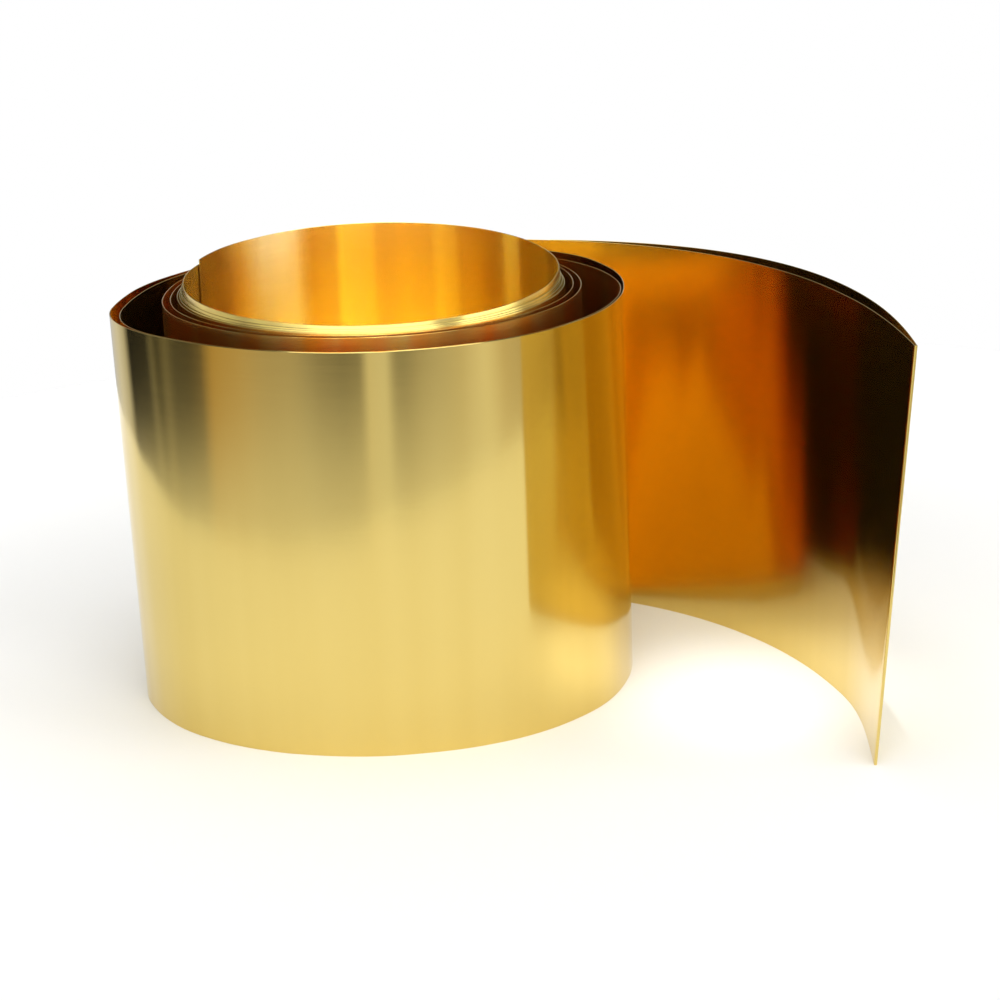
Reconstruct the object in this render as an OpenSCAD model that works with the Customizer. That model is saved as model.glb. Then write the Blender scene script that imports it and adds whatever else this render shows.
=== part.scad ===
// Roll of brass sheet: one strip, standing on edge, wound into a tight coil with four
// loose turns round it. The further in a turn lies, the further it has crept up, more so
// at the back. The strip's outer end springs away as a tail, and the last stretch of the
// tail is folded back behind itself. The origin is on the coil's axis, where it stands.

/* [Strip] */
// Width of the strip, which is the height of the roll
strip_w = 100; // [60:1:150]
// Thickness of the strip
strip_t = 0.2; // [0.1:0.05:0.3]

/* [Tight coil] */
// Radius of the open bore
bore_r = 46.8; // [35:0.1:60]
// Number of turns in the tight coil
core_turns = 4; // [2:1:8]
// Distance from one tight turn to the next
turn_pitch = 0.52; // [0.5:0.01:0.8]

/* [Turns that have crept up] */
// Mean height of the outermost tight turn above the floor
outer_lift = 2.2; // [2:0.1:4]
// Slant of its edges
outer_slant = 1.6; // [0.5:0.1:2]
// Direction in which its edge is highest
outer_high_a = 100; // [80:1:130]
// Mean height of the innermost turn above the floor
inner_lift = 6.2; // [4.5:0.1:10]
// Slant of its edges
inner_slant = 4.9; // [2:0.1:5]
// Direction in which its edge is highest
inner_high_a = 95; // [80:1:130]
// Direction of its free end
inner_end_a = 159; // [140:1:175]
// Direction in which its edge comes out of the tight coil
inner_start_a = -75; // [-100:5:-50]

/* [Loose turns] */
// Gap round the tight coil to the first loose turn
first_gap = 1.5; // [0.5:0.1:2.5]
// Gap from the first loose turn out to the second
second_gap = 1.8; // [0.5:0.1:3]
// Gap from the second loose turn out to the third at the right
third_gap = 9.6; // [6:0.1:14]
// How much wider that gap is at the front
front_spring = 2.6; // [0:0.1:4]
// Gap from the third loose turn out to the fourth at the back right
fourth_gap = 6.6; // [4:0.1:9]
// Gap where the two outer turns lie together, at the right and the front
closed_gap = 0.4; // [0.3:0.1:1]
// Gap between them at the left
left_gap = 2.7; // [1:0.1:5]
// Gap between them at the back, where the tail begins
back_gap = 6.4; // [5:0.1:10]
// Outward lean of the two outer turns where it is greatest, at the front
turn_lean = 2.6; // [0:0.1:3]

/* [Tail] */
// Distance of the tail's end beyond the right side of the coil
tail_out = 56.5; // [40:0.5:80]
// Distance of the tail's end in front of the coil's axis
tail_front = 83.5; // [60:0.5:100]
// Length over which the tail keeps its first direction
tail_start_pull = 74; // [60:1:100]
// Length over which the tail takes its last direction
tail_end_pull = 108; // [60:1:120]
// Outward lean of the tail where it is greatest, behind the coil
tail_lean = 5.8; // [2:0.1:6.5]
// Its lean where it is least
tail_least_lean = 2.3; // [1:0.1:3]
// Its lean at the fold
tail_end_lean = 5; // [2:0.1:6]

/* [Folded end] */
// Centre-line radius of the fold
fold_r = 0.25; // [0.2:0.05:1]
// Widest extra gap between the tail and the stretch folded back
fold_bulge = 5; // [0:0.5:8]
// Share of the tail's curve that is doubled
fold_share = 0.75; // [0.4:0.05:0.9]

/* [Hidden] */
brass = "#d8a73a";
core_r = bore_r + core_turns * turn_pitch;
coil_step = 6;
tail_steps = 28;
fold_steps = 6;
back_steps = 22;
buried = 1.5 * strip_t;
slab = 3 * core_r;
// Angles run clockwise along the strip, from the left of the coil where it leaves the core
coil_end = 4 * 360 + 90;
spring_a = coil_end - 45;
tail_span = 100;
GAPS = [
    [0, -buried],
    [60, first_gap],
    [360, first_gap],
    [540, second_gap],
    [720, second_gap],
    [810, (second_gap + third_gap) / 2],
    [870, third_gap],
    [915, third_gap],
    [940, third_gap + 0.35 * front_spring],
    [965, third_gap + front_spring],
    [990, third_gap + front_spring],
    [1012, third_gap + 0.45 * front_spring],
    [1034, third_gap + 0.2 * front_spring],
    [1058, third_gap + 0.7 * front_spring],
    [1095, third_gap - 0.45 * front_spring],
    [1170, third_gap],
    [1220, fourth_gap],
    [1240, fourth_gap / 2],
    [1270, closed_gap],
    [1410, closed_gap],
    [1440, left_gap],
    [1458, left_gap],
    [1480, left_gap / 1.5],
    [1507, back_gap * 0.75],
    [1530, back_gap],
];
// Share of the tight coil's height and slant that the loose turns still have
RISES = [[0, 1], [360, 0.8], [740, 0.65], [860, 0], [coil_end, 0]];
// Share of the outer turns' lean, along the strip and by direction
LEANS = [[0, 0], [720, 0], [860, 1], [coil_end, 1]];
TURN_LEANS = [
    [0, 0.5],
    [90, 0.5],
    [180, 0],
    [205, 0.1],
    [250, 0.9],
    [265, 1],
    [320, 0.25],
    [345, 0.5],
    [360, 0.5],
];
// Lean from where the outermost turn springs away
TAIL_LEANS = [
    [spring_a, turn_lean / 2],
    [coil_end + 32, tail_lean],
    [coil_end + 85, tail_least_lean],
    [coil_end + tail_span, tail_end_lean],
];

// Smooth curve through a table of [angle, value] that never swings past its values
function secant(table, i) =
    (table[i + 1][1] - table[i][1]) / (table[i + 1][0] - table[i][0]);
function tangent(table, i) =
    i == 0 ? 0
    : i == len(table) - 1 ? secant(table, i - 1)
    : let (before = secant(table, i - 1), after = secant(table, i))
      before * after <= 0 ? 0 : 2 * before * after / (before + after);
function span_of(table, a, i = 0) =
    i == len(table) - 2 || a < table[i + 1][0] ? i : span_of(table, a, i + 1);
function look_up(table, a) =
    let (
        i = span_of(table, a),
        width = table[i + 1][0] - table[i][0],
        u = (a - table[i][0]) / width
    )
    table[i][1] * (1 - u) * (1 - u) * (1 + 2 * u)
    + table[i + 1][1] * u * u * (3 - 2 * u)
    + tangent(table, i) * width * u * (1 - u) * (1 - u)
    - tangent(table, i + 1) * width * u * u * (1 - u);
function unit(v) = v / norm(v);
function left_of(v) = [-v.y, v.x];

// Centre line of the coil's loose turns: each lies a gap outside the one before
function coil_r(a) =
    a < 360 ? core_r + strip_t / 2 + look_up(GAPS, a)
    : coil_r(a - 360) + strip_t + look_up(GAPS, a);
function coil_top(a) = coil_r(a) * [-cos(a), sin(a)];
function coil_way(a) = unit(coil_top(a + 0.5) - coil_top(a - 0.5));
function lean_at(a) =
    a > spring_a ? look_up(TAIL_LEANS, a)
    : turn_lean * look_up(LEANS, a) * look_up(TURN_LEANS, a % 360);
function rise_at(a) =
    look_up(RISES, a)
    * (outer_lift + coil_r(a) * tan(outer_slant) * cos(180 - a - outer_high_a));
function lean_in(a, low) = low * strip_w * sin(lean_at(a));
function coil_point(a, low) = coil_top(a) - lean_in(a, low) * left_of(coil_way(a));

// Centre line of the tail, a curve from the back of the coil to the free end
tail_from = coil_top(coil_end);
tail_to = [coil_r(coil_end - 270) + tail_out, -tail_front];
tail_curve = [
    tail_from,
    tail_from + tail_start_pull * coil_way(coil_end),
    tail_to + [0, tail_end_pull],
    tail_to,
];
function curve_point(c, t) =
    pow(1 - t, 3) * c[0] + 3 * t * pow(1 - t, 2) * c[1]
    + 3 * t * t * (1 - t) * c[2] + pow(t, 3) * c[3];
function curve_way(c, t) =
    unit(pow(1 - t, 2) * (c[1] - c[0]) + 2 * t * (1 - t) * (c[2] - c[1])
         + t * t * (c[3] - c[2]));
function tail_a(t) = coil_end + tail_span * t;
function tail_point(t, low, out = 0) =
    curve_point(tail_curve, t)
    + (out - lean_in(tail_a(t), low)) * left_of(curve_way(tail_curve, t));

// Stretch that is folded back: it stands off the tail most at the middle of its length
function fold_point(a, low) =
    tail_point(1, low, fold_r)
    + fold_r * (sin(a) * curve_way(tail_curve, 1) - cos(a) * left_of(curve_way(tail_curve, 1)));
function back_out(u) = 2 * fold_r + fold_bulge * sin(180 * u);

// A station is [lower edge, upper edge, height above the floor, lean]
function coil_station(a) = [coil_point(a, 1), coil_point(a, 0), rise_at(a), lean_at(a)];
function tail_station(t, out = 0) =
    [tail_point(t, 1, out), tail_point(t, 0, out), 0, lean_at(tail_a(t))];
function fold_station(a) = [fold_point(a, 1), fold_point(a, 0), 0, tail_end_lean];
stations = concat(
    [for (a = [0:coil_step:coil_end - coil_step]) coil_station(a)],
    [for (i = [0:tail_steps]) tail_station(i / tail_steps)],
    [for (i = [1:fold_steps - 1]) fold_station(180 * i / fold_steps)],
    [for (i = [0:back_steps]) let (u = i / back_steps)
        tail_station(1 - u * fold_share, back_out(u))]
);
last = len(stations) - 1;
function way_at(i, edge) =
    unit(stations[min(i + 1, last)][edge] - stations[max(i - 1, 0)][edge]);
function corner(i, edge, side) =
    let (s = stations[i])
    [each s[edge] + side * strip_t / 2 * left_of(way_at(i, edge)), s[2] + edge * strip_w * cos(s[3])];
function section(i) = [corner(i, 0, -1), corner(i, 0, 1), corner(i, 1, 1), corner(i, 1, -1)];

// Two triangles on side k between two stations. Both wide sides are split along parallel
// diagonals, so that the strip keeps its thickness where it twists.
function side_faces(i, k) =
    let (a = 4 * i + k, b = 4 * i + (k + 1) % 4)
    k == 3 ? [[a, a + 4, b], [a + 4, b + 4, b]] : [[a, a + 4, b + 4], [a, b + 4, b]];

module loose_strip() {
    polyhedron(
        points = [for (i = [0:last]) each section(i)],
        faces = concat(
            [[0, 1, 2, 3]],
            [for (i = [0:last - 1], k = [0:3]) each side_faces(i, k)],
            [[for (k = [3:-1:0]) 4 * last + k]]
        )
    );
}

// Part of a round wall between two slanting planes, a strip's width apart.
// share runs from 0 for the outermost tight turn to 1 for the innermost turn.
module slanting_wall(inner_r, outer_r, share) {
    lift = outer_lift + share * (inner_lift - outer_lift);
    slant = outer_slant + share * (inner_slant - outer_slant);
    high_a = outer_high_a + share * (inner_high_a - outer_high_a);
    intersection() {
        difference() {
            cylinder(h = 2 * strip_w, r = outer_r, $fn = 180);
            translate([0, 0, -strip_w]) cylinder(h = 4 * strip_w, r = inner_r, $fn = 180);
        }
        rotate([0, 0, high_a]) rotate([0, -slant, 0])
            translate([-slab, -slab, lift]) cube([2 * slab, 2 * slab, strip_w]);
    }
}

// Tight coil: each turn further in stands higher and slants more, at both its ends
module tight_coil() {
    for (i = [0:core_turns - 1])
        slanting_wall(core_r - (i + 1) * turn_pitch, core_r - i * turn_pitch, i / core_turns);
}

module sector(from_a, to_a) {
    steps = ceil((to_a - from_a) / 30);
    linear_extrude(2 * strip_w)
        polygon(concat([[0, 0]], [for (i = [0:steps])
            let (a = from_a + (to_a - from_a) * i / steps) slab * [cos(a), sin(a)]]));
}

// The innermost turn stands out of the tight coil at the back and ends at the left
module innermost_turn() {
    intersection() {
        slanting_wall(bore_r, bore_r + strip_t, 1);
        sector(inner_start_a, inner_end_a);
    }
}

module brass_strip() {
    color(brass) union() {
        tight_coil();
        innermost_turn();
        loose_strip();
    }
}

brass_strip();
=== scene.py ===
"""Looks of the roll of brass sheet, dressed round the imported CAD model.

The CAD strip keeps its place; this script hides it behind a finer mesh of the same strip,
with a smooth spiral, a thin rolled wall, soft waves and a satin brass finish.
"""

import math

import bpy
from mathutils import Matrix, Vector


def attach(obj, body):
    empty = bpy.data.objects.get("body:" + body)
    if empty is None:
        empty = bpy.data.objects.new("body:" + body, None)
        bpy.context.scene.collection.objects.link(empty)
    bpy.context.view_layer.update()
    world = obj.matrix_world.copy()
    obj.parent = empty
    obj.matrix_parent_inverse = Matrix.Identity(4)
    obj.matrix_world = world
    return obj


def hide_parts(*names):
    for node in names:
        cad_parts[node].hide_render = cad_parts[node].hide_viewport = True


MM = 0.001

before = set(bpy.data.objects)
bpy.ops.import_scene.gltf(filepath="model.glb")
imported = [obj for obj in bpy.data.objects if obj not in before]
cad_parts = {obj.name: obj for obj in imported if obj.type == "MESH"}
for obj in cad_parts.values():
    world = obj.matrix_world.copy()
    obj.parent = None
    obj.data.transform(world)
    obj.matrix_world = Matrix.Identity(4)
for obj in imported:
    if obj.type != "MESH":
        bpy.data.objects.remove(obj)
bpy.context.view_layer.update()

# ---------------------------------------------------------------- sizes, in mm
STRIP_W = 100.0
STRIP_T = 0.2
BORE_R = 46.8
CORE_TURNS = 4
TURN_PITCH = 0.52
CORE_R = BORE_R + CORE_TURNS * TURN_PITCH
OUTER_LIFT, OUTER_SLANT, OUTER_HIGH = 2.2, 1.6, 100.0
INNER_LIFT, INNER_SLANT, INNER_HIGH = 6.2, 4.9, 95.0
INNER_END, INNER_START = 159.0, -75.0
FIRST_GAP, SECOND_GAP, THIRD_GAP, FOURTH_GAP = 1.5, 1.8, 9.6, 6.6
FRONT_SPRING, CLOSED_GAP, LEFT_GAP, BACK_GAP = 2.6, 0.4, 2.7, 6.4
TURN_LEAN = 2.6
TAIL_OUT, TAIL_FRONT, TAIL_START_PULL, TAIL_END_PULL = 56.5, 83.5, 74.0, 108.0
TAIL_LEAN, TAIL_LEAST_LEAN, TAIL_END_LEAN = 5.8, 2.3, 5.0
FOLD_R, FOLD_BULGE, FOLD_SHARE = 0.25, 5.0, 0.75
COIL_END = 4 * 360 + 90
SPRING_A = COIL_END - 45
TAIL_SPAN = 100

# The strip's route: angles run clockwise along it from the left of the coil. The tight
# turns have negative angles, and the innermost starts at its free end.
TIGHT_START = 180 - INNER_END - CORE_TURNS * 360
BURIED = 1.5 * STRIP_T
# Clear gap in mm to the turn inside, by angle along the strip
GAPS = [
    (0, -BURIED), (60, FIRST_GAP), (360, FIRST_GAP), (540, SECOND_GAP), (720, SECOND_GAP),
    (810, (SECOND_GAP + THIRD_GAP) / 2), (870, THIRD_GAP), (915, THIRD_GAP),
    (940, THIRD_GAP + 0.35 * FRONT_SPRING), (965, THIRD_GAP + FRONT_SPRING),
    (990, THIRD_GAP + FRONT_SPRING), (1012, THIRD_GAP + 0.45 * FRONT_SPRING),
    (1034, THIRD_GAP + 0.2 * FRONT_SPRING), (1058, THIRD_GAP + 0.7 * FRONT_SPRING),
    (1095, THIRD_GAP - 0.45 * FRONT_SPRING), (1170, THIRD_GAP), (1220, FOURTH_GAP),
    (1240, FOURTH_GAP / 2), (1270, CLOSED_GAP), (1410, CLOSED_GAP), (1440, LEFT_GAP),
    (1458, LEFT_GAP), (1480, LEFT_GAP / 1.5), (1507, BACK_GAP * 0.75), (1530, BACK_GAP),
]
# Share of the tight coil's rise that the loose turns keep, their share of TURN_LEAN, how
# that changes round each turn, and the tail's own leans in degrees
RISES = [(0, 1), (360, 0.8), (740, 0.65), (860, 0), (COIL_END, 0)]
LEANS = [(0, 0), (720, 0), (860, 1), (COIL_END, 1)]
TURN_LEANS = [
    (0, 0.5), (90, 0.5), (180, 0), (205, 0.1), (250, 0.9), (265, 1), (320, 0.25),
    (345, 0.5), (360, 0.5),
]
TAIL_LEANS = [
    (SPRING_A, TURN_LEAN / 2), (COIL_END + 32, TAIL_LEAN),
    (COIL_END + 85, TAIL_LEAST_LEAN), (COIL_END + TAIL_SPAN, TAIL_END_LEAN),
]
# How far each tight turn has crept up, from 0 for the outermost to 1 for the innermost. The
# innermost lip stands highest up to LIP_END, and falls to the next turn's over LIP_FALL.
LIP_END = TIGHT_START + INNER_END - INNER_START
LIP_FALL = 125
SHARES = [
    (TIGHT_START, 1), (LIP_END, 1), (LIP_END + LIP_FALL, 0.72), (-900, 0.5), (-540, 0.25),
    (-180, 0), (0, 0),
]


def look_up(table, a):
    """Smooth curve through a table of (angle, value) that never swings past its values."""
    last = len(table) - 1

    def secant(i):
        return (table[i + 1][1] - table[i][1]) / (table[i + 1][0] - table[i][0])

    def tangent(i):
        if i == 0:
            return 0.0
        if i == last:
            return secant(i - 1)
        before, after = secant(i - 1), secant(i)
        return 0.0 if before * after <= 0 else 2 * before * after / (before + after)

    i = 0
    while i < last - 1 and a >= table[i + 1][0]:
        i += 1
    width = table[i + 1][0] - table[i][0]
    u = (a - table[i][0]) / width
    return (
        table[i][1] * (1 - u) ** 2 * (1 + 2 * u)
        + table[i + 1][1] * u * u * (3 - 2 * u)
        + tangent(i) * width * u * (1 - u) ** 2
        - tangent(i + 1) * width * u * u * (1 - u)
    )


def mix(a, b, share):
    return a + (b - a) * share


def left_of(v):
    return Vector((-v.y, v.x))


def coil_r(a):
    if a < 0:  # the tight turns close in evenly on the bore
        start = BORE_R + STRIP_T / 2
        return mix(coil_r(0), start, a / TIGHT_START)
    if a < 360:
        return CORE_R + STRIP_T / 2 + look_up(GAPS, a)
    return coil_r(a - 360) + STRIP_T + look_up(GAPS, a)


def coil_top(a):
    t = math.radians(a)
    return coil_r(a) * Vector((-math.cos(t), math.sin(t)))


def coil_way(a):
    return (coil_top(a + 0.5) - coil_top(a - 0.5)).normalized()


def lean_at(a):
    if a > SPRING_A:
        return look_up(TAIL_LEANS, a)
    if a < 720:
        return 0.0
    return TURN_LEAN * look_up(LEANS, a) * look_up(TURN_LEANS, a % 360)


def rise_at(a):
    share = look_up(SHARES, a) if a < 0 else 0.0
    lift = mix(OUTER_LIFT, INNER_LIFT, share)
    slant = math.radians(mix(OUTER_SLANT, INNER_SLANT, share))
    high = mix(OUTER_HIGH, INNER_HIGH, share)
    full = lift + coil_r(a) * math.tan(slant) * math.cos(math.radians(180 - a - high))
    return full * (look_up(RISES, a) if a > 0 else 1.0)


def lean_in(a, low):
    return low * STRIP_W * math.sin(math.radians(lean_at(a)))


def coil_point(a, low):
    return coil_top(a) - lean_in(a, low) * left_of(coil_way(a))


TAIL_FROM = coil_top(COIL_END)
TAIL_TO = Vector((coil_r(COIL_END - 270) + TAIL_OUT, -TAIL_FRONT))
TAIL_CURVE = [
    TAIL_FROM, TAIL_FROM + TAIL_START_PULL * coil_way(COIL_END),
    TAIL_TO + Vector((0, TAIL_END_PULL)), TAIL_TO,
]


def curve_point(c, t):
    return (
        (1 - t) ** 3 * c[0] + 3 * t * (1 - t) ** 2 * c[1]
        + 3 * t * t * (1 - t) * c[2] + t ** 3 * c[3]
    )


def curve_way(c, t):
    return (
        (1 - t) ** 2 * (c[1] - c[0]) + 2 * t * (1 - t) * (c[2] - c[1])
        + t * t * (c[3] - c[2])
    ).normalized()


def tail_a(t):
    return COIL_END + TAIL_SPAN * t


def tail_point(t, low, out=0.0):
    way = curve_way(TAIL_CURVE, t)
    return curve_point(TAIL_CURVE, t) + (out - lean_in(tail_a(t), low)) * left_of(way)


def fold_point(a, low):
    way = curve_way(TAIL_CURVE, 1)
    t = math.radians(a)
    return tail_point(1, low, FOLD_R) + FOLD_R * (math.sin(t) * way - math.cos(t) * left_of(way))


def back_out(u):
    return 2 * FOLD_R + FOLD_BULGE * math.sin(math.pi * u)


# Slopes of the small waves that winding left in the strip: in the innermost turn, in the
# rest of the coil, and where the tail springs free. They fade in and out over the first and
# last TAIL_EASE of the tail.
INNER_WAVE, COIL_WAVE, TAIL_WAVE = 0.016, 0.007, 0.004
TAIL_EASE = 0.2
# Inward curl of the tight turns' lips, over their top few mm
LIP_TALL, LIP_CURL = 4.0, 0.35


def share_of(value, low, high):
    return min(max((value - low) / (high - low), 0.0), 1.0)


def lip_curl(a):
    """The lips curl in at the front, and less towards the outer end of the tight turns."""
    front = share_of(-math.sin(math.radians(a)), -0.5, 0.5)
    return LIP_CURL * front * share_of(-a, 0, 90)


# A station is (lower edge, upper edge, height above the floor, lean, way out, size of the
# waves, curl of the lip)
def coil_station(a):
    size = mix(INNER_WAVE, COIL_WAVE, share_of(a, LIP_END, LIP_END + LIP_FALL))
    out = left_of(coil_way(a))
    return coil_point(a, 1), coil_point(a, 0), rise_at(a), lean_at(a), out, size, lip_curl(a)


def tail_station(t, out=0.0):
    size = mix(COIL_WAVE, TAIL_WAVE, share_of(t, 0, TAIL_EASE)) * share_of(1 - t, 0, TAIL_EASE)
    if out:  # the folded ply is smooth
        size = 0.0
    low, up = tail_point(t, 1, out), tail_point(t, 0, out)
    return low, up, 0.0, lean_at(tail_a(t)), left_of(curve_way(TAIL_CURVE, t)), size, 0.0


def fold_station(a):
    way_out = left_of(curve_way(TAIL_CURVE, 1))
    return fold_point(a, 1), fold_point(a, 0), 0.0, TAIL_END_LEAN, way_out, 0.0, 0.0


# Fineness of the mesh along the strip: degrees in the coil, steps elsewhere
COIL_STEP = 1.5
TAIL_STEPS = 120
FOLD_STEPS = 12
BACK_STEPS = 90


def route():
    turns = int((COIL_END - TIGHT_START) / COIL_STEP)
    step = (COIL_END - TIGHT_START) / turns
    found = [coil_station(TIGHT_START + i * step) for i in range(turns)]
    found += [tail_station(i / TAIL_STEPS) for i in range(TAIL_STEPS + 1)]
    found += [fold_station(180 * i / FOLD_STEPS) for i in range(1, FOLD_STEPS)]
    found += [
        tail_station(1 - i / BACK_STEPS * FOLD_SHARE, back_out(i / BACK_STEPS))
        for i in range(BACK_STEPS + 1)
    ]
    return found


# (wavelength in mm, share of the slope, phase, shift in mm from foot to head)
WAVES = [
    (9.5, 0.5, 0.4, 0.6), (15.0, 0.8, 2.1, -1.5), (23.0, 0.9, 4.0, 2.0), (41.0, 1, 1.2, -4.0),
]
# Rows across the strip, the finer ones in its lip, and how far the wall's full thickness
# stays from its two edges
ROWS = 12
LIP_ROWS = (1, 0.7, 0.4, 0.2)
RIM = 0.06
CREASE = 25.0


def wave(s, v):
    """Height of the waves, s mm along the strip at the share v of its height."""
    return sum(
        size * long / math.tau * math.sin(math.tau * (s + shift * v) / long + phase)
        for long, size, phase, shift in WAVES
    )


def strip_mesh():
    """The strip as one closed wall: a ring of points round its section at each station."""
    stations = route()
    count = len(stations)
    shares = [RIM / STRIP_W] + [i / ROWS for i in range(1, ROWS)]
    shares += [1 - LIP_TALL * part / STRIP_W for part in LIP_ROWS] + [1 - RIM / STRIP_W]
    middle, s = [], 0.0
    for i, (low, up, rise, lean, out, size, curl) in enumerate(stations):
        tall = STRIP_W * math.cos(math.radians(lean))
        if i:
            s += (up - stations[i - 1][1]).length

        def at(v):
            lip = share_of(v, 1 - LIP_TALL / STRIP_W, 1)
            p = low.lerp(up, v) + (size * wave(s, v) - curl * lip * lip) * out
            return Vector((p.x, p.y, rise + v * tall))

        middle.append(([at(v) for v in shares], at(0), at(1)))
    ring = 2 * len(shares) + 2
    verts, along = [], [0.0]
    for i in range(count):
        before, after = middle[max(i - 1, 0)], middle[min(i + 1, count - 1)]
        row, foot, head = middle[i]
        sides = []
        for j, p in enumerate(row):
            way = after[0][j] - before[0][j]
            across = row[min(j + 1, len(row) - 1)] - row[max(j - 1, 0)]
            out = across.cross(way).normalized()
            sides.append((p + out * STRIP_T / 2, p - out * STRIP_T / 2))
        verts += [foot] + [s[0] for s in sides] + [head] + [s[1] for s in reversed(sides)]
        if i:
            half = len(row) // 2
            along.append(along[-1] + (row[half] - middle[i - 1][0][half]).length)
    faces, uvs = [], []
    levels = [0.0] + shares + [1.0] + list(reversed(shares))
    for i in range(count - 1):
        for k in range(ring):
            n = (k + 1) % ring
            faces.append((i * ring + k, (i + 1) * ring + k, (i + 1) * ring + n, i * ring + n))
            low, up = levels[k], levels[n]
            uvs.append(((along[i], low), (along[i + 1], low), (along[i + 1], up), (along[i], up)))
    for i, turned in ((0, False), (count - 1, True)):
        # the strip's two cut ends, in quads across its thickness
        for k in range(1, ring // 2):
            a, b = i * ring + k, i * ring + (ring - k)
            if k == ring // 2 - 1:
                quad = [a, a + 1, b]
            elif k == 1:
                quad = [a, a + 1, b - 1, b]
                cap = [i * ring, a, b]
                faces.append(tuple(reversed(cap)) if turned else tuple(cap))
                uvs.append(tuple((along[i], 0.0) for _ in cap))
            else:
                quad = [a, a + 1, b - 1, b]
            faces.append(tuple(reversed(quad)) if turned else tuple(quad))
            uvs.append(tuple((along[i], levels[q % ring]) for q in quad))
    mesh = bpy.data.meshes.new("brass_strip_wound")
    mesh.from_pydata([v * MM for v in verts], [], faces)
    layer = mesh.uv_layers.new(name="strip")
    flat = [c for corner in uvs for c in corner]
    for loop, (u, v) in zip(layer.data, flat):
        loop.uv = (u * MM, v * STRIP_W * MM)
    mesh.shade_smooth()
    mesh.set_sharp_from_angle(angle=math.radians(CREASE))
    mesh.validate()
    return mesh


def new_material(name):
    material = bpy.data.materials.new(name)
    material.use_nodes = True
    tree = material.node_tree
    tree.nodes.clear()
    return material, tree


def ramp_of(tree, value, stops):
    """A colour ramp over a 0 to 1 value; a stop is (place, grey) or (place, (r, g, b))."""
    ramp = tree.nodes.new("ShaderNodeValToRGB")
    tree.links.new(value, ramp.inputs[0])
    elements = ramp.color_ramp.elements
    while len(elements) > 1:
        elements.remove(elements[-1])
    for i, (at, colour) in enumerate(stops):
        e = elements[0] if i == 0 else elements.new(at)
        rgb = colour if isinstance(colour, tuple) else (colour, colour, colour)
        e.position, e.color = at, (*rgb, 1)
    return ramp.outputs[0]


def range_of(tree, value, low, high, to_low=0.0, to_high=1.0, smooth=False):
    node = tree.nodes.new("ShaderNodeMapRange")
    if smooth:
        node.interpolation_type = "SMOOTHSTEP"
    node.inputs["From Min"].default_value = low
    node.inputs["From Max"].default_value = high
    node.inputs["To Min"].default_value = to_low
    node.inputs["To Max"].default_value = to_high
    tree.links.new(value, node.inputs["Value"])
    return node.outputs["Result"]


def maths(tree, operation, a, b):
    node = tree.nodes.new("ShaderNodeMath")
    node.operation = operation
    for socket, value in zip(node.inputs, (a, b)):
        if isinstance(value, float):
            socket.default_value = value
        else:
            tree.links.new(value, socket)
    return node.outputs[0]


def noise_along(tree, place, along, across, detail=2.0):
    """Noise on the strip, in features per metre along it and across it."""
    scaled = tree.nodes.new("ShaderNodeVectorMath")
    scaled.operation = "MULTIPLY"
    scaled.inputs[1].default_value = (along, across, 1)
    tree.links.new(place, scaled.inputs[0])
    noise = tree.nodes.new("ShaderNodeTexNoise")
    noise.noise_dimensions = "2D"
    noise.inputs["Scale"].default_value = 1.0
    noise.inputs["Detail"].default_value = detail
    tree.links.new(scaled.outputs[0], noise.inputs["Vector"])
    return noise.outputs[0]


# Colours: the loose outer turn and tail, the tight coil, the turns between them painted a deep
# orange that stands in for light reflected back and forth between the turns (a painted
# reflection), and stains
BRASS = (0.76, 0.585, 0.19)
TIGHT_BRASS = (0.81, 0.65, 0.19)
MIDDLE_PAINTED_REFLECTION = (0.79, 0.34, 0.04)
TARNISH = (0.735, 0.56, 0.175)
# Painted highlights and painted reflections for the bands of the innermost turn: bright cream,
# gold and yellow, with amber between them
AMBER, PAINTED_GOLD_HIGHLIGHT, PAINTED_CREAM_HIGHLIGHT = (0.785, 0.595, 0.16), (0.87, 0.74, 0.2), (0.93, 0.86, 0.48)
PAINTED_YELLOW_HIGHLIGHT = (0.93, 0.82, 0.24)
# Length of the strip in m, and along it, from 0 to 1: its colour, with the painted orange
# reflection on the middle turns, its roughness, and where the grain's relief sets in
STRIP_LENGTH = 3.1
# the middle turns' deep orange is a painted reflection of light bounced between the turns
COLOURS_AND_PAINTED_REFLECTION = [(0.34, TIGHT_BRASS), (0.42, MIDDLE_PAINTED_REFLECTION), (0.69, MIDDLE_PAINTED_REFLECTION), (0.715, BRASS)]
SATIN = [
    (0.0, 0.19), (0.3, 0.19), (0.5, 0.24), (0.69, 0.24), (0.72, 0.105), (0.87, 0.105),
    (0.91, 0.135), (1.0, 0.13),
]
RELIEF = (0.69, 0.73)
# Bands on the innermost turn: (mm from its free end, colour, roughness). The colours are painted
# highlights and painted reflections, bright cream, gold and yellow bands between amber ones, and
# the roughness changes with them
BANDS = [
    (0, AMBER, 0.2), (18, AMBER, 0.2), (26, PAINTED_CREAM_HIGHLIGHT, 0.255), (36, PAINTED_CREAM_HIGHLIGHT, 0.25), (41, AMBER, 0.15),
    (46, AMBER, 0.15), (49, PAINTED_GOLD_HIGHLIGHT, 0.15), (57, PAINTED_GOLD_HIGHLIGHT, 0.15), (59, AMBER, 0.15),
    (73, AMBER, 0.15), (75, PAINTED_GOLD_HIGHLIGHT, 0.16), (80, PAINTED_GOLD_HIGHLIGHT, 0.16), (82, AMBER, 0.15), (95, AMBER, 0.15),
    (98, PAINTED_YELLOW_HIGHLIGHT, 0.15), (102, PAINTED_YELLOW_HIGHLIGHT, 0.15), (104, PAINTED_GOLD_HIGHLIGHT, 0.15), (122, PAINTED_GOLD_HIGHLIGHT, 0.16),
    (135, TIGHT_BRASS, 0.17),
]
# The bands give way to the plain brass between these two places
BANDS_FADE, BANDS_END = 138.0, 150.0
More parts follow.
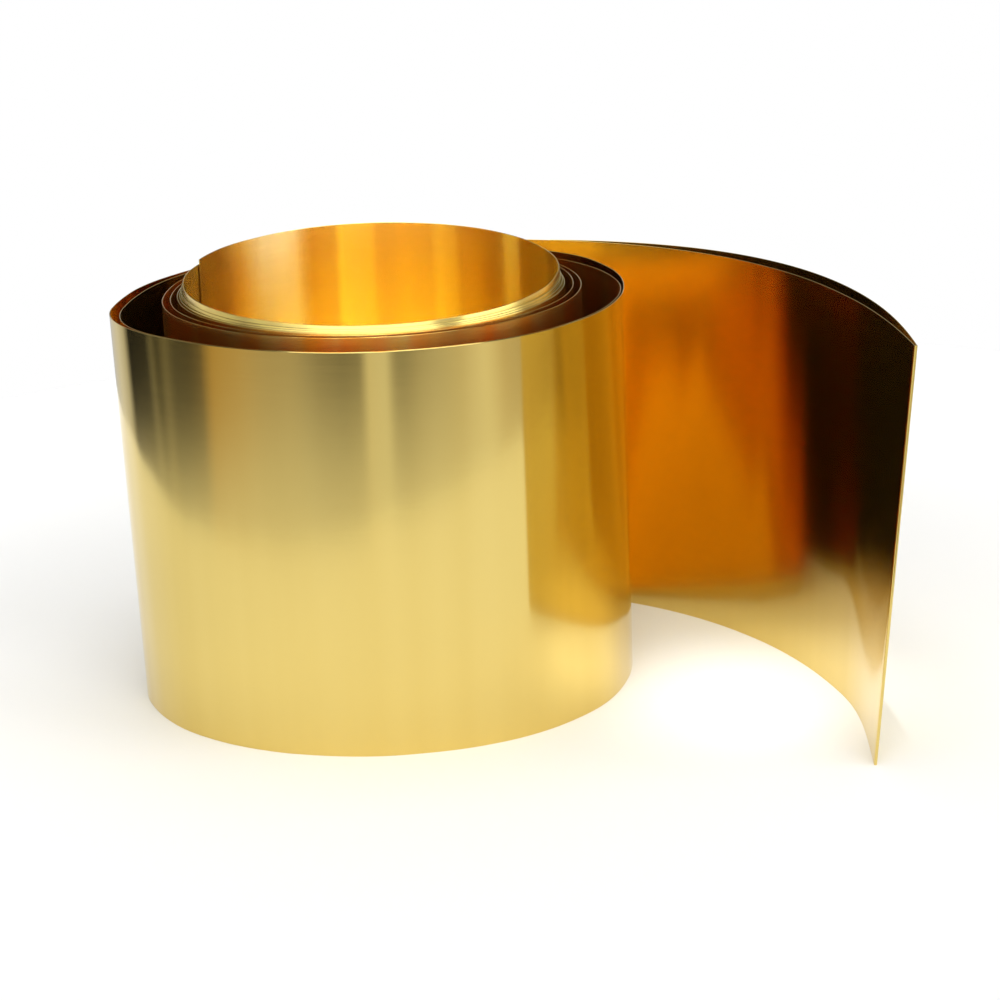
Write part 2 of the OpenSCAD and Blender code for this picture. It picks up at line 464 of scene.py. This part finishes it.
# Features per metre along the strip and across it, of the stains and of the rolling grain
STAINS, GRAIN = (95.0, 1.5), (60.0, 1600.0)
GRAIN_DEEP = 0.5e-6
ANISOTROPY = 0.7


def brass_material():
    material, tree = new_material("brass")
    nodes, links = tree.nodes, tree.links
    out = nodes.new("ShaderNodeOutputMaterial")
    shader = nodes.new("ShaderNodeBsdfPrincipled")
    shader.inputs["Metallic"].default_value = 1.0
    shader.inputs["Anisotropic"].default_value = ANISOTROPY
    shader.inputs["Anisotropic Rotation"].default_value = 0.25
    way = nodes.new("ShaderNodeTangent")
    way.direction_type = "UV_MAP"
    way.uv_map = "strip"
    links.new(way.outputs["Tangent"], shader.inputs["Tangent"])
    uv = nodes.new("ShaderNodeUVMap")
    uv.uv_map = "strip"
    place = uv.outputs["UV"]
    parts = nodes.new("ShaderNodeSeparateXYZ")
    links.new(place, parts.inputs[0])
    far = range_of(tree, parts.outputs["X"], 0, STRIP_LENGTH)
    near = range_of(tree, parts.outputs["X"], 0, BANDS_END * MM)
    inner = range_of(tree, parts.outputs["X"], BANDS_FADE * MM, BANDS_END * MM)

    # colour: painted highlight and reflection bands on the innermost turn, a painted orange
    # reflection on the middle turns, and faint streaks of tarnish all along
    streaks = noise_along(tree, place, *STAINS)
    stain = range_of(tree, streaks, 0.35, 0.7)
    plain = nodes.new("ShaderNodeMix")
    plain.data_type = "RGBA"
    plain.inputs["B"].default_value = (*TARNISH, 1)
    links.new(ramp_of(tree, far, COLOURS_AND_PAINTED_REFLECTION), plain.inputs["A"])
    links.new(stain, plain.inputs["Factor"])
    # the innermost turn's painted highlight and reflection bands
    banded = ramp_of(tree, near, [(at / BANDS_END, tint) for at, tint, _ in BANDS])
    colour = nodes.new("ShaderNodeMix")
    colour.data_type = "RGBA"
    links.new(inner, colour.inputs["Factor"])
    links.new(banded, colour.inputs["A"])
    links.new(plain.outputs["Result"], colour.inputs["B"])
    links.new(colour.outputs["Result"], shader.inputs["Base Color"])

    # roughness: satin in the tight coil, glossier towards the tail, with fine rolling grain
    bands = ramp_of(tree, near, [(at / BANDS_END, satin) for at, _, satin in BANDS])
    either = nodes.new("ShaderNodeMix")
    links.new(inner, either.inputs["Factor"])
    links.new(bands, either.inputs["A"])
    links.new(ramp_of(tree, far, SATIN), either.inputs["B"])
    grain = noise_along(tree, place, *GRAIN, detail=1.0)
    worn = range_of(tree, grain, 0.3, 0.7, 0.97, 1.04)
    rough = maths(tree, "MULTIPLY", either.outputs["Result"], worn)
    links.new(rough, shader.inputs["Roughness"])
    bump = nodes.new("ShaderNodeBump")
    links.new(range_of(tree, far, *RELIEF), bump.inputs["Strength"])
    bump.inputs["Distance"].default_value = GRAIN_DEEP
    links.new(grain, bump.inputs["Height"])
    links.new(bump.outputs["Normal"], shader.inputs["Normal"])
    links.new(shader.outputs["BSDF"], out.inputs["Surface"])
    return material


def make_strip():
    strip = bpy.data.objects.new("brass_strip_wound", strip_mesh())
    bpy.context.scene.collection.objects.link(strip)
    strip.data.materials.append(brass_material())
    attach(strip, "root")
    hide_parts("brass_strip")


# The round table top, in m
FLOOR_R = 0.31
FLOOR_X, FLOOR_Y = 0.05, 0.085
FLOOR_SIDES = 96
FLOOR_COLOUR, FLOOR_ROUGHNESS = (0.86, 0.86, 0.85), 0.8


def make_floor():
    mesh = bpy.data.meshes.new("floor")
    turns = [math.tau * i / FLOOR_SIDES for i in range(FLOOR_SIDES)]
    rim = [(FLOOR_X + FLOOR_R * math.cos(t), FLOOR_Y + FLOOR_R * math.sin(t), 0) for t in turns]
    mesh.from_pydata(rim, [], [tuple(range(FLOOR_SIDES))])
    floor = bpy.data.objects.new("floor", mesh)
    bpy.context.scene.collection.objects.link(floor)
    material, tree = new_material("floor")
    out = tree.nodes.new("ShaderNodeOutputMaterial")
    shader = tree.nodes.new("ShaderNodeBsdfPrincipled")
    shader.inputs["Base Color"].default_value = (*FLOOR_COLOUR, 1)
    shader.inputs["Roughness"].default_value = FLOOR_ROUGHNESS
    tree.links.new(shader.outputs["BSDF"], out.inputs["Surface"])
    mesh.materials.append(material)


def warm_grey(light, warm):
    """A grey of this brightness, turned towards orange as warm goes from 0 to 1."""
    return (light, light * (1 - 0.35 * warm), light * (1 - 0.8 * warm))


# Brightness of the surroundings by azimuth, in degrees from straight behind the camera,
# right positive: (azimuth, light, warmth). Below the horizon is the room round the table,
# above it are its walls and windows, and higher a softbox over the camera.
ROOM = [
    (-180, 0.5, 0), (-146, 0.75, 0), (-136, 0.55, 0), (-128, 0.0, 0), (-114, 0.0, 0),
    (-108, 0.12, 0.1), (-104, 0.02, 0.2), (-99, 0.14, 0.2), (-95, 0.02, 0.4),
    (-86, 0.1, 0.9), (-79, 0.48, 1), (-68, 0.52, 0.8), (-56, 0.46, 0.5),
    (-45, 0.4, 0.4), (-38, 0.28, 0.3), (-31, 0.17, 0.35), (-22, 0.08, 0.35),
    (-13, 0.12, 0.3), (-7, 0.72, 0.1), (4, 0.74, 0), (9, 0.2, 0.15), (12, 0.2, 0.15),
    (18, 0.36, 0.2), (28, 0.5, 0.15), (38, 0.66, 0.2), (48, 0.88, 0.1), (60, 0.65, 0.4),
    (90, 0.5, 0.2), (120, 0.6, 0), (180, 0.5, 0),
]
WALLS = [
    (-180, 0.4, 0), (-140, 0.1, 0), (-80, 0.15, 0), (-50, 1.4, 0), (-30, 2.3, 0),
    (36, 2.3, 0), (41, 0.5, 0), (48, 0.6, 0), (54, 3.0, 0), (92, 3.0, 0), (100, 0.5, 0),
    (130, 0.4, 0), (180, 0.4, 0),
]
SOFTBOX = [
    (-180, 0.4, 0), (-80, 0.3, 0), (-44, 1.5, 0), (-34, 4.5, 0), (36, 4.5, 0), (42, 0.6, 0),
    (50, 0.6, 0), (54, 3.0, 0), (92, 3.0, 0), (100, 0.5, 0), (180, 0.4, 0),
]
TABLE_LIGHT, FAR_LIGHT, CEILING_LIGHT = 0.86, 1.05, 0.2
# Depth of the table's far edge below the horizon, as the height of a direction of length 1
EDGE = [
    (-180, 0.268), (-115, 0.268), (-100, 0.27), (-65, 0.288), (-47, 0.299), (-30, 0.316),
    (-21, 0.323), (0, 0.33), (12, 0.332), (27, 0.324), (46, 0.314), (90, 0.3), (180, 0.265),
]


def make_world():
    """Soft studio surroundings: brightness by direction, white where the camera looks."""
    world = bpy.data.worlds.new("studio")
    bpy.context.scene.world = world
    world.use_nodes = True
    tree = world.node_tree
    tree.nodes.clear()
    nodes, links = tree.nodes, tree.links
    out = nodes.new("ShaderNodeOutputWorld")
    sky = nodes.new("ShaderNodeBackground")
    place = nodes.new("ShaderNodeTexCoord")
    parts = nodes.new("ShaderNodeSeparateXYZ")
    links.new(place.outputs["Generated"], parts.inputs[0])
    back = maths(tree, "MULTIPLY", parts.outputs["Y"], -1.0)
    turn = maths(tree, "ARCTAN2", parts.outputs["X"], back)
    share = range_of(tree, turn, -math.pi, math.pi)

    def around(stops):
        return ramp_of(tree, share, [
            ((azimuth + 180) / 360, warm_grey(light, warm)) for azimuth, light, warm in stops
        ])

    def above(height, low, high, below, upper):
        mixed = nodes.new("ShaderNodeMix")
        mixed.data_type = "RGBA"
        links.new(range_of(tree, height, low, high, smooth=True), mixed.inputs["Factor"])
        for socket, value in (("A", below), ("B", upper)):
            if isinstance(value, float):
                mixed.inputs[socket].default_value = (value, value, value, 1)
            else:
                links.new(value, mixed.inputs[socket])
        return mixed.outputs["Result"]

    # the limits are heights of a direction of length 1, the first two over the table's edge
    high = parts.outputs["Z"]
    edge = ramp_of(tree, share, [((azimuth + 180) / 360, deep) for azimuth, deep in EDGE])
    over = maths(tree, "ADD", high, edge)
    light = above(over, -0.022, 0.018, TABLE_LIGHT, around(ROOM))
    light = above(over, 0.105, 0.15, light, FAR_LIGHT)
    light = above(high, -0.02, 0.04, light, around(WALLS))
    light = above(high, 0.2, 0.3, light, around(SOFTBOX))
    light = above(high, 0.62, 0.75, light, CEILING_LIGHT)
    links.new(light, sky.inputs["Color"])
    sky.inputs["Strength"].default_value = 1.0
    seen = nodes.new("ShaderNodeLightPath")
    white = nodes.new("ShaderNodeBackground")
    white.inputs["Color"].default_value = (1, 1, 1, 1)
    white.inputs["Strength"].default_value = 1.0
    choose = nodes.new("ShaderNodeMixShader")
    links.new(seen.outputs["Is Camera Ray"], choose.inputs[0])
    links.new(sky.outputs[0], choose.inputs[1])
    links.new(white.outputs[0], choose.inputs[2])
    links.new(choose.outputs[0], out.inputs["Surface"])


OVERHEAD_SIZE = 1.2
NARROW_LAMP_HIGH = 1.6


def lamp(name, kind, place, energy):
    """A lamp that shines straight down, at a place in m."""
    data = bpy.data.lights.new(name, kind)
    data.energy = energy
    hung = bpy.data.objects.new(name, data)
    hung.location = place
    bpy.context.scene.collection.objects.link(hung)
    return data


def spot(name, place, energy, angle, soft_size, blend):
    data = lamp(name, "SPOT", place, energy)
    data.shadow_soft_size = soft_size
    data.spot_size = angle
    data.spot_blend = blend


def narrow_lamp(name, x, y, radius, energy):
    """A spot that lights only a small round of the table, whose place and size are in mm."""
    angle = 2 * math.atan(radius * MM / NARROW_LAMP_HIGH)
    spot(name, (x * MM, y * MM, NARROW_LAMP_HIGH), energy, angle, soft_size=0.02, blend=0.6)


def make_lights():
    overhead = lamp("overhead", "AREA", (0.02, 0.0, 1.8), 11.5)
    overhead.shape = "RECTANGLE"
    overhead.size = overhead.size_y = OVERHEAD_SIZE
    # one behind that lifts the far side of the table to the white of the backdrop
    spot("back_lamp", (0.0, 0.5, 0.8), 6.0, math.radians(110), soft_size=0.25, blend=1.0)
    # two that reach the table inside the bore and inside the tail, where the metal
    # hides it from the soft light
    narrow_lamp("bore_lamp", 0, 0, 0.9 * BORE_R, 630.0)
    narrow_lamp("pocket_lamp", 92, -32, 42, 48.0)


# ---------------------------------------------------------------- camera, place in mm
CAMERA_PLACE = (-0.9, -643.4, 229.2)
FOCAL_PX, PICTURE_PX = 2600.0, 1000
SENSOR_MM = 36.0
PITCH, ROLL, YAW = math.radians(15.977), math.radians(2.1096), math.radians(-2.7639)


def make_camera():
    forward = Vector((-math.sin(YAW) * math.cos(PITCH), math.cos(YAW) * math.cos(PITCH),
                      -math.sin(PITCH)))
    right0 = Vector((math.cos(YAW), math.sin(YAW), 0))
    up0 = right0.cross(forward)
    right = math.cos(ROLL) * right0 - math.sin(ROLL) * up0
    up = math.sin(ROLL) * right0 + math.cos(ROLL) * up0
    data = bpy.data.cameras.new("camera")
    data.sensor_fit = "HORIZONTAL"
    data.sensor_width = SENSOR_MM
    data.lens = SENSOR_MM * FOCAL_PX / PICTURE_PX
    data.clip_start, data.clip_end = 0.01, 50
    camera = bpy.data.objects.new("camera", data)
    bpy.context.scene.collection.objects.link(camera)
    turned = Matrix((right, up, -forward)).transposed().to_4x4()
    turned.translation = Vector(CAMERA_PLACE) * MM
    camera.matrix_world = turned
    bpy.context.scene.camera = camera


make_strip()
make_floor()
make_world()
make_lights()
make_camera()
scene = bpy.context.scene
scene.view_settings.view_transform = "Standard"
# light bounces many times between the turns before it is as warm as in the photo
scene.cycles.max_bounces = 24
scene.cycles.glossy_bounces = 20
